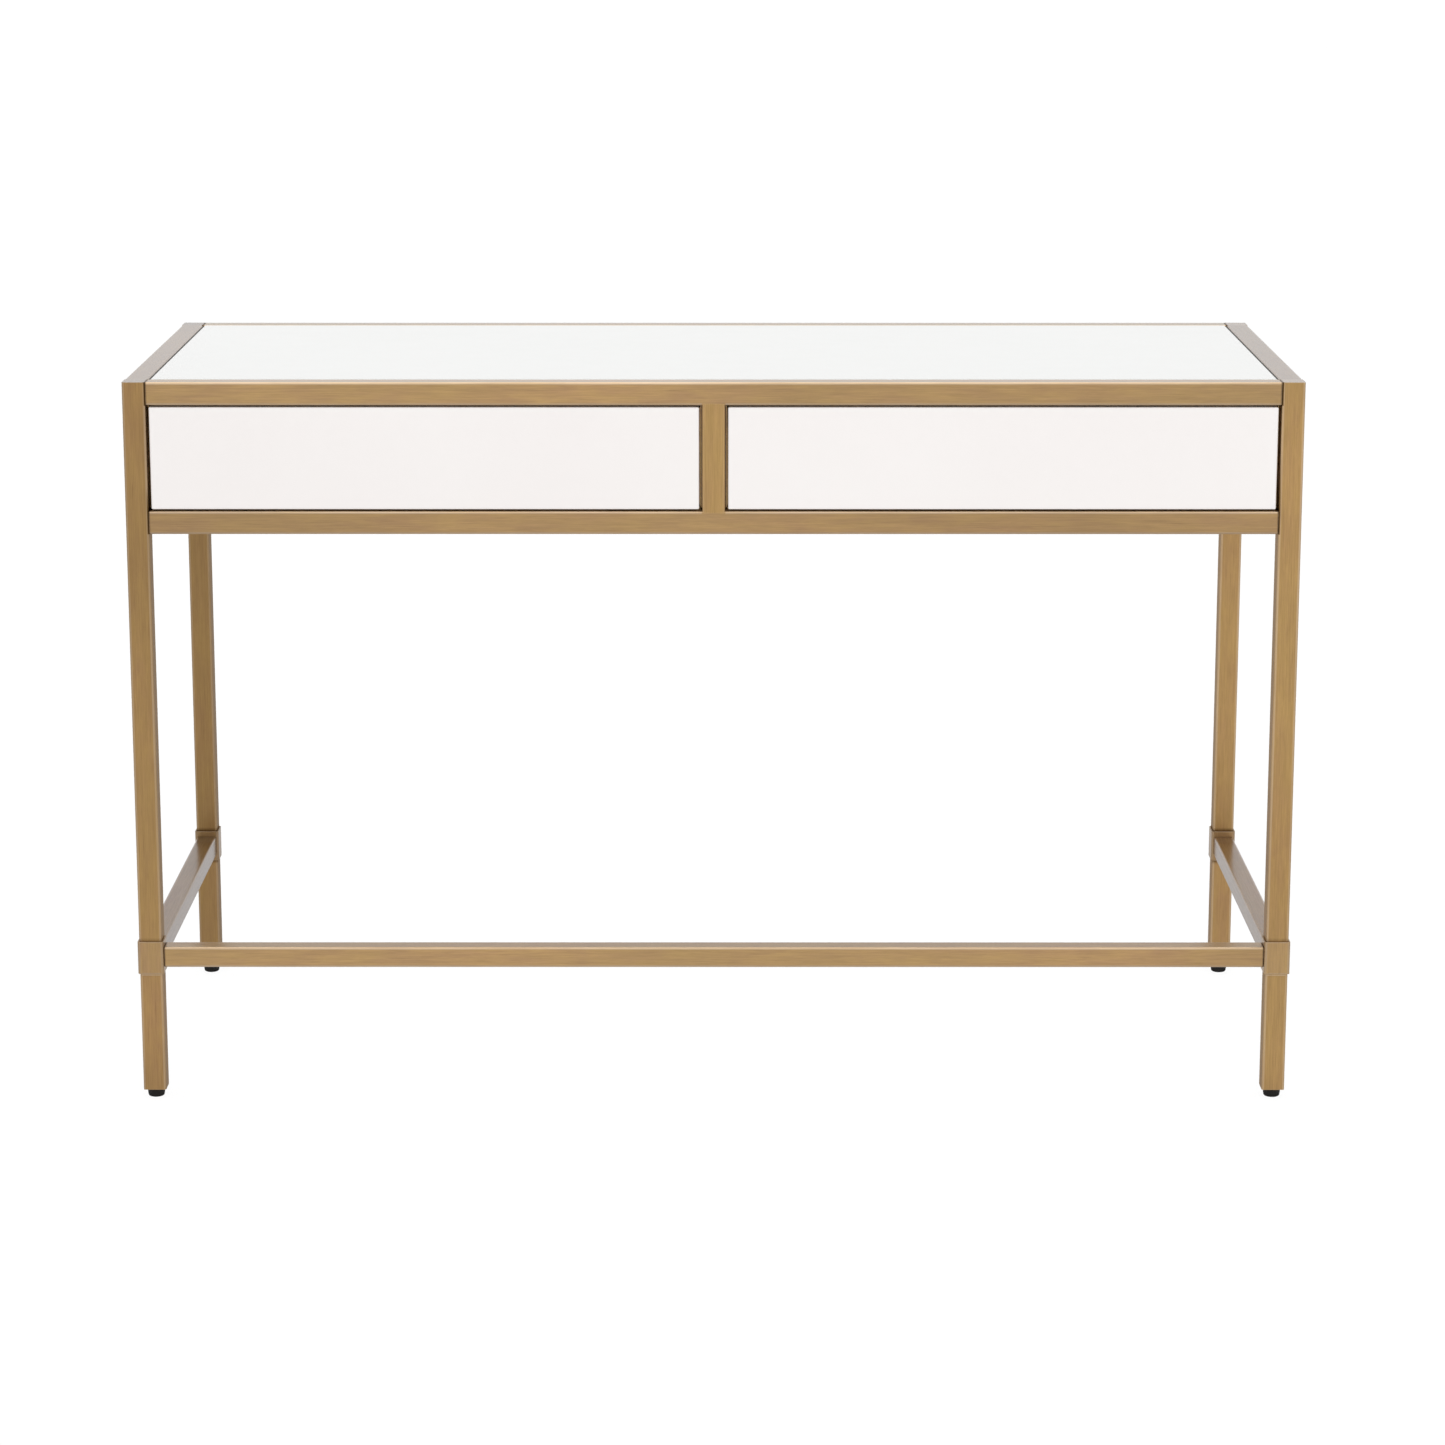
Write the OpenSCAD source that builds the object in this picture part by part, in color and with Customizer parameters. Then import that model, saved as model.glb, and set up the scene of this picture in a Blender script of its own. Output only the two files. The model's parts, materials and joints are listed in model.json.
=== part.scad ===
// Two-drawer vanity table: a brushed brass-finished tube frame with a flush white top, inset
// push-to-open drawers on telescopic slides, collars round the legs and levelling feet.
// Millimetres, +Z up. The origin is on the floor at the centre of the footprint and the
// drawers open towards -Y.

/* [Table] */
// Width over the legs
table_w = 1219; // [1000:1:1500]
// Depth over the legs
table_d = 508; // [500:1:700]
// Height from the floor to the top
table_h = 770; // [700:1:820]

/* [Frame] */
// Side of the square frame tube
tube_w = 24; // [22:1:30]
// Wall of the tubes
tube_wall = 1.5; // [1.2:0.1:2]
// Outer corner radius of the tubes
tube_r = 2; // [1:0.5:2.5]
// Clear height of the drawer openings
open_h = 110.5; // [106:0.5:160]

/* [Stretchers] */
// Height of the stretchers' centre line above the floor
stretch_z = 156; // [120:1:260]
// Side of the square stretcher tube
stretch_w = 22; // [18:1:22]
// Height of the collars round the legs
collar_h = 35.5; // [28:0.5:60]
// Wall of the collars
collar_wall = 2; // [1.5:0.5:4]

/* [Top and panels] */
// Thickness of the white top panel
glass_t = 6; // [4:0.5:8]
// Thickness of the board under the top panel
board_t = 12; // [8:1:12]
// Gap round the top panel
top_gap = 1.5; // [0.5:0.5:3]
// Thickness of the side panels
side_t = 18; // [12:1:20]
// Thickness of the back panel
back_t = 12; // [6:1:14]

/* [Drawers] */
// Gap beside each drawer face
side_reveal = 3; // [2:0.5:4]
// Gap above and below each drawer face
level_reveal = 2; // [1.5:0.5:4]
// Thickness of the drawer faces
face_t = 16; // [12:1:19]
// How far the drawer faces sit behind the rails
face_recess = 1; // [0.5:0.5:3]
// Height of the drawer boxes
box_h = 90; // [60:1:92]
// Thickness of the drawer boxes' walls
box_t = 12; // [9:1:15]
// Room between the slides and the back rails
slide_end_gap = 33; // [30:1:80]

/* [Feet] */
// Height of the feet under the legs
foot_h = 9.5; // [7:0.5:12]
// How far the feet screw out
foot_travel = 10; // [5:1:15]

/* [Hidden] */
$fn = 48;
eps = 0.01;
run_gap = 0.3;
fit_gap = 0.05;

// centre lines of the legs and inner faces of the frame
leg_x = table_w / 2 - tube_w / 2;
leg_y = table_d / 2 - tube_w / 2;
in_x = table_w / 2 - tube_w;
in_y = table_d / 2 - tube_w;
tube_in = tube_w - 2 * tube_wall;
stretch_in = stretch_w - 2 * tube_wall;
collar_w = tube_w + 2 * collar_wall;

// heights of the rails and of what lies on them
top_rail_z = table_h - tube_w;
open_z = top_rail_z - open_h;
low_rail_z = open_z - tube_w;
ledge_t = 3;
ledge_w = 12;
gusset_w = 60;
weld_gap = 0.5;
glass_z = table_h - glass_t;
board_z = glass_z - board_t;
top_ledge_z = board_z - ledge_t;
floor_z = low_rail_z + ledge_t;
floor_t = 12;
mid_z = floor_z + floor_t;
panel_gap = 0.5;

// leg cap
cap_t = 1.5;
cap_stub = 3;

// bolts through the legs into the ends of the rails, along X
bolt_d = 6;
bolt_hole_d = 6.4;
head_d = 10;
head_h = 5;
bolt_key_w = 5.6;
bolt_key_l = 3;
cover_d = 11;
nut_l = 15;
bolt_l = 20;
rail_bolt_zs = [top_rail_z + tube_w / 2, low_rail_z + tube_w / 2];

// screws that hold the boards
screw_d = 4;
screw_head_d = 7.6;
screw_head_h = 2.2;
screw_key_w = 3;
screw_key_l = 1.4;
screw_short = 0.5;
bite = 9;
gusset_in = 20;
ledge_screw_in = 280;
ledge_screw_x = in_x - ledge_screw_in;
board_screws = [for (sx = [-1, 1], sy = [-1, 1]) [sx * (in_x - gusset_in), sy * (in_y - gusset_in)],
                for (sx = [-1, 1], sy = [-1, 1]) [sx * ledge_screw_x, sy * (in_y - ledge_w / 2)]];
side_panel_x = in_x + side_t / 2;
side_screw_y = in_y * 0.6;
back_screw_xs = [for (i = [-1.5:1:1.5]) i * in_x / 2];
mid_screw_y = in_y * 0.5;
edge_bite = 20;

// bays, drawer boxes and slides
mid_t = tube_w;
bay_w = in_x - mid_t / 2;
bay_x = mid_t / 2 + bay_w / 2;
slide_t = 12.7;
slide_h = 45;
slide_wall = 1.2;
slide_outer_lip = 3;
slide_middle_lip = 1;
slide_z = open_z + open_h / 2;
slide_start = 2;
slide_y = slide_start - in_y;
slide_l = 2 * in_y - slide_start - slide_end_gap;
box_w = bay_w - 2 * slide_t;
box_z = slide_z - box_h / 2;
face_y = face_recess - table_d / 2;
box_y = face_y + face_t;
box_over = 15;
box_l = slide_l + box_over;
box_back_y = box_y + box_l;
bottom_t = 6;
bottom_up = 8;
groove = 6;
face_screw_inset = 90;
face_screw_x = box_w / 2 - face_screw_inset;
face_screw_z = box_h / 4;
back_y = leg_y - back_t / 2;

// push latches behind the drawers
latch_w = 22;
latch_h = 16;
latch_plate_w = 34;
latch_plate_t = 2;
latch_gap = 9;
latch_front_y = box_back_y + latch_gap;
plunger_d = 8;
plunger_tip_d = 12;
plunger_tip_l = 4;
plunger_l = 18;
plunger_press = 3;

// levelling feet
pad_h = foot_h - run_gap;
pad_r = 9.3;
pad_rim_r = 9.7;
pad_rim_h = 2.2;
pad_flat_r = 7.2;
pad_dome_h = 1.8;
stud_d = 6;
stud_z = 2.6;
stud_grip = 30;
stud_l = stud_grip + foot_travel;
plug_h = 18;

module rounded_square(w, r) {
    square([w - 2 * r, w], center = true);
    square([w, w - 2 * r], center = true);
    for (sx = [-1, 1], sy = [-1, 1])
        translate([sx * (w / 2 - r), sy * (w / 2 - r)]) circle(r);
}

module tube_section(w) {
    difference() {
        rounded_square(w, tube_r);
        square(w - 2 * tube_wall, center = true);
    }
}

module along_x(length) {
    rotate([90, 0, 90]) linear_extrude(length, center = true) children();
}

module along_y(length) {
    rotate([90, 0, 0]) linear_extrude(length, center = true) children();
}

module bored_x(d, length) {
    rotate([0, 90, 0]) cylinder(d = d, h = length, center = true);
}

module at_legs() {
    for (sx = [-1, 1], sy = [-1, 1]) translate([sx * leg_x, sy * leg_y, 0]) children();
}

// ---- legs, collars and feet

// bore for one bolt along X: a wide hole in the leg's outer side and a bolt hole in its inner side
module leg_bore(sx, z) {
    translate([sx * collar_w, 0, z]) bored_x(cover_d, 2 * collar_w - tube_in);
    translate([-sx * collar_w, 0, z]) bored_x(bolt_hole_d, 2 * collar_w - tube_in);
}

module leg(sx, sy) {
    bolt_zs = sy < 0 ? concat(rail_bolt_zs, [stretch_z]) : rail_bolt_zs;
    color("tan") translate([sx * leg_x, sy * leg_y, 0]) difference() {
        translate([0, 0, foot_h]) linear_extrude(table_h - foot_h - cap_t) tube_section(tube_w);
        for (z = bolt_zs) leg_bore(sx, z);
    }
}

module leg_caps() {
    color("tan") at_legs() {
        translate([0, 0, table_h - cap_t]) linear_extrude(cap_t) rounded_square(tube_w, tube_r);
        translate([0, 0, table_h - cap_t - cap_stub / 2])
            cube([tube_in - 2 * fit_gap, tube_in - 2 * fit_gap, cap_stub + eps], center = true);
    }
}

module collars() {
    color("tan") for (sx = [-1, 1], sy = [-1, 1]) translate([sx * leg_x, sy * leg_y, 0]) difference() {
        translate([0, 0, stretch_z - collar_h / 2]) linear_extrude(collar_h) difference() {
            rounded_square(collar_w, tube_r);
            rounded_square(tube_w, tube_r);
        }
        if (sy < 0) leg_bore(sx, stretch_z);
    }
}

module leg_plugs() {
    color("dimgray") at_legs() difference() {
        translate([0, 0, foot_h + plug_h / 2])
            cube([tube_in - 2 * fit_gap, tube_in - 2 * fit_gap, plug_h], center = true);
        translate([0, 0, foot_h - 1]) cylinder(d = stud_d + 2 * fit_gap, h = plug_h + 2);
    }
}

// a pad with a domed bottom and a wider rim, bored for its stud
module foot(sx, sy) {
    dome = [for (a = [0:15:90]) [pad_flat_r + (pad_r - pad_flat_r) * sin(a), pad_dome_h * (1 - cos(a))]];
    rim_z = pad_h - pad_rim_h;
    color("black") translate([sx * leg_x, sy * leg_y, 0]) difference() {
        rotate_extrude() polygon(concat([[0, 0]], dome,
            [[pad_r, rim_z], [pad_rim_r, rim_z], [pad_rim_r, pad_h], [0, pad_h]]));
        translate([0, 0, stud_z]) cylinder(d = stud_d + 2 * fit_gap, h = pad_h);
    }
}

module stud(sx, sy) {
    color("silver") translate([sx * leg_x, sy * leg_y, stud_z]) {
        cylinder(d = stud_d, h = stud_l);
        translate([0, 0, stud_l]) cylinder(d1 = stud_d, d2 = stud_d - 1.5, h = 1);
    }
}

// ---- rails, stretchers and their bolts

module rail_x(sy, z) {
    color("tan") translate([0, sy * leg_y, z + tube_w / 2]) along_x(2 * in_x) tube_section(tube_w);
}

module rail_y(sx, z) {
    color("tan") translate([sx * leg_x, 0, z + tube_w / 2]) along_y(2 * in_y) tube_section(tube_w);
}

// a bottom side rail, bored for the screws that come up into the side panel
module bored_rail_y(sx, z) {
    difference() {
        rail_y(sx, z);
        for (sy = [-1, 1]) translate([sx * side_panel_x, sy * side_screw_y, z - 1])
            cylinder(d = screw_d + 2 * fit_gap, h = tube_w + 2);
    }
}

module back_bottom_rail() {
    color("tan") difference() {
        rail_x(1, low_rail_z);
        for (x = back_screw_xs) translate([x, leg_y, low_rail_z - 1])
            cylinder(d = screw_d + 2 * fit_gap, h = tube_w + 2);
    }
}

module mullion() {
    color("tan") translate([0, -leg_y, open_z]) linear_extrude(open_h) tube_section(tube_w);
}

module front_stretcher() {
    color("tan") translate([0, -leg_y, stretch_z])
        along_x(2 * (in_x - collar_wall)) tube_section(stretch_w);
}

module side_stretcher(sx) {
    color("tan") translate([sx * leg_x, 0, stretch_z])
        along_y(2 * (in_y - collar_wall)) tube_section(stretch_w);
}

// one threaded block in the end of a rail whose end face is at x
module rail_nut(sx, x, y, z, w) {
    translate([sx * (x - nut_l / 2), y, z]) difference() {
        cube([nut_l, w - 2 * fit_gap, w - 2 * fit_gap], center = true);
        bored_x(bolt_d + 2 * fit_gap, nut_l + 2);
    }
}

module rail_nuts() {
    color("silver") for (sx = [-1, 1]) {
        for (sy = [-1, 1], z = rail_bolt_zs) rail_nut(sx, in_x, sy * leg_y, z, tube_in);
        rail_nut(sx, in_x - collar_wall, -leg_y, stretch_z, stretch_in);
    }
}

// one socket-head bolt whose head bears on the inside of the leg
module frame_bolt(sx, y, z, length) {
    translate([sx * (in_x + tube_wall), y, z]) rotate([0, sx * 90, 0]) difference() {
        union() {
            cylinder(d = head_d, h = head_h);
            translate([0, 0, -length]) cylinder(d = bolt_d, h = length + eps);
        }
        translate([0, 0, head_h - bolt_key_l]) cylinder(d = bolt_key_w, h = bolt_key_l + 1, $fn = 6);
    }
}

module frame_bolts() {
    color("silver") for (sx = [-1, 1]) {
        for (sy = [-1, 1], z = rail_bolt_zs) frame_bolt(sx, sy * leg_y, z, bolt_l);
        frame_bolt(sx, -leg_y, stretch_z, bolt_l + collar_wall);
    }
}

// flush covers in the wide bolt holes
module bolt_covers() {
    color("tan") for (sx = [-1, 1]) {
        for (sy = [-1, 1], z = rail_bolt_zs)
            translate([sx * (table_w / 2 - tube_wall / 2), sy * leg_y, z])
                bored_x(cover_d - 2 * fit_gap, tube_wall);
        translate([sx * (table_w / 2 + collar_wall - tube_wall / 2), -leg_y, stretch_z])
            bored_x(cover_d - 2 * fit_gap, tube_wall);
    }
}

// ---- top, case and partition

// welded strips and corner gussets that carry a board, one piece each
module ledge(z) {
    strip_cut = gusset_w + weld_gap;
    color("tan") translate([0, 0, z]) difference() {
        linear_extrude(ledge_t) {
            for (sy = [-1, 1]) translate([0, sy * (in_y - ledge_w / 2)])
                square([2 * (in_x - strip_cut), ledge_w], center = true);
            for (sx = [-1, 1]) translate([sx * (in_x - ledge_w / 2), 0])
                square([ledge_w, 2 * (in_y - strip_cut)], center = true);
            for (sx = [-1, 1], sy = [-1, 1]) scale([sx, sy]) translate([in_x, in_y])
                polygon([[0, 0], [-gusset_w, 0], [-gusset_w, -ledge_w], [-ledge_w, -gusset_w],
                    [0, -gusset_w]]);
        }
        for (p = board_screws) translate([p[0], p[1], -1])
            cylinder(d = screw_d + 2 * fit_gap, h = ledge_t + 2);
    }
}

// a board inside the frame, bored from below for its screws
module framed_board(z, t, gap) {
    difference() {
        translate([0, 0, z + t / 2]) cube([2 * (in_x - gap), 2 * (in_y - gap), t], center = true);
        for (p = board_screws) translate([p[0], p[1], z - 1])
            cylinder(d = screw_d + 2 * fit_gap, h = bite + 1);
    }
}

module top_panel() {
    color("white") translate([0, 0, glass_z + glass_t / 2])
        cube([2 * (in_x - top_gap), 2 * (in_y - top_gap), glass_t], center = true);
}

module top_board() {
    color("whitesmoke") framed_board(board_z, board_t, panel_gap);
}

module case_floor() {
    color("whitesmoke") difference() {
        framed_board(floor_z, floor_t, panel_gap);
        for (sy = [-1, 1]) translate([0, sy * mid_screw_y, floor_z - 1])
            cylinder(d = screw_d + 2 * fit_gap, h = floor_t + 2);
    }
}

module side_panel(sx) {
    color("white") difference() {
        translate([sx * side_panel_x, 0, open_z + open_h / 2]) cube([side_t, 2 * in_y, open_h], center = true);
        for (sy = [-1, 1]) translate([sx * side_panel_x, sy * side_screw_y, open_z - 1])
            cylinder(d = screw_d + 2 * fit_gap, h = edge_bite + 1);
    }
}

module back_panel() {
    color("white") difference() {
        translate([0, leg_y, open_z + open_h / 2]) cube([2 * in_x, back_t, open_h], center = true);
        for (x = back_screw_xs) translate([x, leg_y, open_z - 1])
            cylinder(d = screw_d + 2 * fit_gap, h = edge_bite + 1);
    }
}

// the board behind the mullion, notched over the front and back ledges
module partition() {
    color("whitesmoke") difference() {
        translate([-mid_t / 2, -in_y, mid_z]) cube([mid_t, 2 * in_y, board_z - mid_z]);
        for (sy = [-1, 1]) translate([0, sy * in_y, board_z])
            cube([mid_t + 2, 2 * ledge_w, 2 * ledge_t], center = true);
        for (sy = [-1, 1]) translate([0, sy * mid_screw_y, mid_z - 1])
            cylinder(d = screw_d + 2 * fit_gap, h = edge_bite + 1);
    }
}

// a pan-head screw that points up from z = 0, its head below
module screw(length) {
    difference() {
        union() {
            translate([0, 0, -screw_head_h]) cylinder(d = screw_head_d, h = screw_head_h);
            translate([0, 0, -eps]) cylinder(d = screw_d, h = length + eps);
        }
        translate([0, 0, -screw_head_h - 1]) cylinder(d = screw_key_w, h = screw_key_l + 1, $fn = 6);
    }
}

module panel_screws() {
    color("silver") {
        for (p = board_screws) {
            translate([p[0], p[1], top_ledge_z]) screw(ledge_t + bite - screw_short);
            translate([p[0], p[1], low_rail_z]) screw(ledge_t + bite - screw_short);
        }
        for (sx = [-1, 1], sy = [-1, 1])
            translate([sx * side_panel_x, sy * side_screw_y, low_rail_z]) screw(tube_w + edge_bite - screw_short);
        for (x = back_screw_xs)
            translate([x, leg_y, low_rail_z]) screw(tube_w + edge_bite - screw_short);
        for (sy = [-1, 1])
            translate([0, sy * mid_screw_y, floor_z]) screw(floor_t + edge_bite - screw_short);
    }
}

// ---- telescopic slides: three nested channels, opening towards the drawer or the case

// a channel with its web at u = 0, which opens towards +u
module channel(h, depth, wall) {
    difference() {
        translate([0, -h / 2]) square([depth, h]);
        translate([wall, wall - h / 2]) square([depth, h - 2 * wall]);
    }
}

// both slides of one bay; u = 0 is the bay's wall and u = slide_t the drawer's side
module bay_slides(sx, y, length) {
    for (wall = [-1, 1]) translate([sx * bay_x, y + length / 2, slide_z])
        scale([wall, 1, 1]) translate([-bay_w / 2, 0, 0]) along_y(length) children();
}

middle_u = slide_wall + run_gap;
middle_h = slide_h - 2 * (slide_wall + run_gap);
inner_h = middle_h - 2 * (slide_wall + run_gap);
inner_depth = slide_t - middle_u - slide_wall - run_gap;

module slide_outers() {
    color("silver") for (sx = [-1, 1])
        bay_slides(sx, slide_y, slide_l) channel(slide_h, slide_t - slide_outer_lip, slide_wall);
}

module slide_middles(sx) {
    color("gainsboro") bay_slides(sx, slide_y, slide_l)
        translate([middle_u, 0]) channel(middle_h, slide_t - middle_u - slide_middle_lip, slide_wall);
}

module slide_inners(sx) {
    color("silver") bay_slides(sx, slide_y, slide_l)
        translate([slide_t, 0]) scale([-1, 1]) channel(inner_h, inner_depth, slide_wall);
}

// ---- drawers

module drawer_face(sx) {
    color("white") translate([sx * bay_x, 0, 0]) difference() {
        translate([side_reveal - bay_w / 2, face_y, open_z + level_reveal])
            cube([bay_w - 2 * side_reveal, face_t, open_h - 2 * level_reveal]);
        face_screw_bores();
    }
}

// bores for the screws that come through the box front into the face
module face_screw_bores() {
    for (x = [-1, 1] * face_screw_x, z = [-1, 1] * face_screw_z)
        translate([x, box_y - bite, slide_z + z]) rotate([-90, 0, 0])
            cylinder(d = screw_d + 2 * fit_gap, h = bite + box_t + 1);
}

module drawer_board_groove() {
    translate([0, box_y + box_l / 2, box_z + bottom_up + bottom_t / 2])
        cube([box_w - 2 * (box_t - groove), box_l - 2 * (box_t - groove), bottom_t], center = true);
}

module drawer_front(sx) {
    color("burlywood") translate([sx * bay_x, 0, 0]) difference() {
        translate([box_t - box_w / 2, box_y, box_z]) cube([box_w - 2 * box_t, box_t, box_h]);
        face_screw_bores();
        drawer_board_groove();
    }
}

module drawer_sides(sx) {
    color("burlywood") translate([sx * bay_x, 0, 0]) difference() {
        for (x = [-box_w / 2, box_w / 2 - box_t]) translate([x, box_y, box_z]) cube([box_t, box_l, box_h]);
        drawer_board_groove();
    }
}

module drawer_back(sx) {
    color("burlywood") translate([sx * bay_x, 0, 0]) difference() {
        translate([box_t - box_w / 2, box_back_y - box_t, box_z]) cube([box_w - 2 * box_t, box_t, box_h]);
        drawer_board_groove();
    }
}

module drawer_bottom(sx) {
    edge = box_t - groove + fit_gap;
    color("burlywood") translate([sx * bay_x, box_y + box_l / 2, box_z + bottom_up + bottom_t / 2])
        cube([box_w - 2 * edge, box_l - 2 * edge, bottom_t], center = true);
}

module drawer_screws(sx) {
    color("silver") for (x = [-1, 1] * face_screw_x, z = [-1, 1] * face_screw_z)
        translate([sx * bay_x + x, box_y + box_t, slide_z + z]) rotate([90, 0, 0]) screw(box_t + bite - screw_short);
}

// ---- push latches

module latch_bodies() {
    color("gainsboro") for (sx = [-1, 1]) translate([sx * bay_x, 0, slide_z]) difference() {
        union() {
            translate([-latch_w / 2, latch_front_y, -latch_h / 2]) cube([latch_w, back_y - latch_front_y, latch_h]);
            translate([-latch_plate_w / 2, back_y - latch_plate_t, -latch_w / 2])
                cube([latch_plate_w, latch_plate_t, latch_w]);
        }
        translate([0, latch_front_y - 1, 0]) rotate([-90, 0, 0])
            cylinder(d = plunger_d + 2 * fit_gap, h = plunger_l + 1);
    }
}

module plunger(sx) {
    color("dimgray") translate([sx * bay_x, box_back_y + run_gap, slide_z]) rotate([-90, 0, 0]) {
        cylinder(d = plunger_tip_d, h = plunger_tip_l);
        cylinder(d = plunger_d, h = latch_front_y - box_back_y + plunger_l - plunger_press - 1);
    }
}

leg(-1, -1);  // leg_front_left
leg(1, -1);  // leg_front_right
leg(-1, 1);  // leg_back_left
leg(1, 1);  // leg_back_right
leg_caps();
collars();
front_stretcher();
side_stretcher(-1);  // left_stretcher
side_stretcher(1);  // right_stretcher
rail_x(-1, top_rail_z);  // front_top_rail
rail_x(-1, low_rail_z);  // front_bottom_rail
mullion();
rail_x(1, top_rail_z);  // back_top_rail
back_bottom_rail();
rail_y(-1, top_rail_z);  // left_top_rail
rail_y(1, top_rail_z);  // right_top_rail
bored_rail_y(-1, low_rail_z);  // left_bottom_rail
bored_rail_y(1, low_rail_z);  // right_bottom_rail
rail_nuts();
frame_bolts();
bolt_covers();
ledge(top_ledge_z);  // top_ledge
ledge(low_rail_z);  // bottom_ledge
top_panel();
top_board();
case_floor();
side_panel(-1);  // left_panel
side_panel(1);  // right_panel
back_panel();
partition();
panel_screws();
slide_outers();
drawer_face(-1);  // left_drawer_face
drawer_front(-1);  // left_drawer_front
drawer_sides(-1);  // left_drawer_sides
drawer_back(-1);  // left_drawer_back
drawer_bottom(-1);  // left_drawer_bottom
drawer_screws(-1);  // left_drawer_screws
slide_inners(-1);  // left_slide_inners
slide_middles(-1);  // left_slide_middles
drawer_face(1);  // right_drawer_face
drawer_front(1);  // right_drawer_front
drawer_sides(1);  // right_drawer_sides
drawer_back(1);  // right_drawer_back
drawer_bottom(1);  // right_drawer_bottom
drawer_screws(1);  // right_drawer_screws
slide_inners(1);  // right_slide_inners
slide_middles(1);  // right_slide_middles
latch_bodies();
plunger(-1);  // left_plunger
plunger(1);  // right_plunger
leg_plugs();
foot(-1, -1);  // foot_front_left
foot(1, -1);  // foot_front_right
foot(-1, 1);  // foot_back_left
foot(1, 1);  // foot_back_right
stud(-1, -1);  // stud_front_left
stud(1, -1);  // stud_front_right
stud(-1, 1);  // stud_back_left
stud(1, 1);  // stud_back_right
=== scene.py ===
import json
import math

import bmesh
import bpy
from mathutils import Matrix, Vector


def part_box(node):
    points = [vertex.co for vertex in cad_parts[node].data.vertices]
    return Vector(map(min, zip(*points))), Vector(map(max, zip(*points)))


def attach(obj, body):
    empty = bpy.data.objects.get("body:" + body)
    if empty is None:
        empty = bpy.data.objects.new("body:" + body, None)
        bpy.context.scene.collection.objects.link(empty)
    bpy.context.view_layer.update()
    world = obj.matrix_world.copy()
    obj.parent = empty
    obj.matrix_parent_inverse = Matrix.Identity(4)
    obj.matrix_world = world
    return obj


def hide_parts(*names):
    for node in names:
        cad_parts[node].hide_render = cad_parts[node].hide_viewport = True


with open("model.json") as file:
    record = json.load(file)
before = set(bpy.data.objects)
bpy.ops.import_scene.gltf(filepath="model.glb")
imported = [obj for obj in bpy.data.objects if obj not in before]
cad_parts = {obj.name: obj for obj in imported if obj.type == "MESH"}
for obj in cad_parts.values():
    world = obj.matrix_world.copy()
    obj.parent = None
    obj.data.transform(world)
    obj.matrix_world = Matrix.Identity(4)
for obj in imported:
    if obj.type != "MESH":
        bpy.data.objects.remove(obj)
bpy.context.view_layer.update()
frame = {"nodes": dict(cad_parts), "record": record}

cadNodes = frame["nodes"]
slotOf = {row["node"]: row["material_slot"] for row in frame["record"]["subparts"]}
scene = bpy.context.scene
corners = ("front_left", "front_right", "back_left", "back_right")
hair = 1e-6  # in metres: closer than this is the same place
near = 1e-5  # in metres: closer than this lies on a line that was cut
cloudRange = (0.35, 0.65)  # of a noise or a wave, from none to all
sheenRange = (0.3, 0.7)


def newGroup(name, vectors, values):
    # a node group that takes vectors and gives out values
    group = bpy.data.node_groups.new(name, "ShaderNodeTree")
    for title in vectors:
        group.interface.new_socket(title, in_out="INPUT", socket_type="NodeSocketVector")
    for title in values:
        group.interface.new_socket(title, in_out="OUTPUT", socket_type="NodeSocketFloat")
    return group, group.nodes.new("NodeGroupInput"), group.nodes.new("NodeGroupOutput")


def addNode(tree, kind, **values):
    node = tree.nodes.new(kind)
    for key, value in values.items():
        setattr(node, key, value)
    return node


def noiseNode(tree, vector, scale, detail, roughness=0.55, distortion=0.0):
    node = addNode(tree, "ShaderNodeTexNoise")
    node.inputs["Scale"].default_value = scale
    node.inputs["Detail"].default_value = detail
    node.inputs["Roughness"].default_value = roughness
    node.inputs["Distortion"].default_value = distortion
    tree.links.new(vector, node.inputs["Vector"])
    return node.outputs["Fac"]


def rangeNode(tree, value, fromLow, fromHigh, toLow=0.0, toHigh=1.0):
    node = addNode(tree, "ShaderNodeMapRange")
    for key, number in (("From Min", fromLow), ("From Max", fromHigh), ("To Min", toLow), ("To Max", toHigh)):
        node.inputs[key].default_value = number
    tree.links.new(value, node.inputs["Value"])
    return node.outputs["Result"]


def mathNode(tree, operation, first, second=0.0):
    node = addNode(tree, "ShaderNodeMath", operation=operation)
    for index, value in enumerate((first, second)):
        if isinstance(value, (int, float)):
            node.inputs[index].default_value = value
        else:
            tree.links.new(value, node.inputs[index])
    return node.outputs[0]


def mixColours(tree, factor, first, second, blend="MIX"):
    node = addNode(tree, "ShaderNodeMix", data_type="RGBA", blend_type=blend)
    for key, value in (("Factor", factor), ("A", first), ("B", second)):
        socket = [s for s in node.inputs if s.name == key and (key == "Factor" or s.type == "RGBA")][0]
        if isinstance(value, (int, float)):
            socket.default_value = value
        elif isinstance(value, tuple):
            socket.default_value = (*value, 1.0)
        else:
            tree.links.new(value, socket)
    return [s for s in node.outputs if s.type == "RGBA"][0]


# each noise is its scale, detail, roughness and distortion; each range is what of it counts from none to all
brushLook = {
    "fine": (2.6, 2.0, 0.6), "broad": (0.7, 2.0, 0.55), "streaks": (0.33, 0.67),
    "dash": (1.3, 1.0, 0.5), "dashes": (0.60, 0.74),
    "cloud": (1.0, 4.0, 0.6, 0.3), "clouds": (0.34, 0.66),
    "drift": (0.17, 2.0, 0.5), "drifts": (0.36, 0.64),
}


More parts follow.
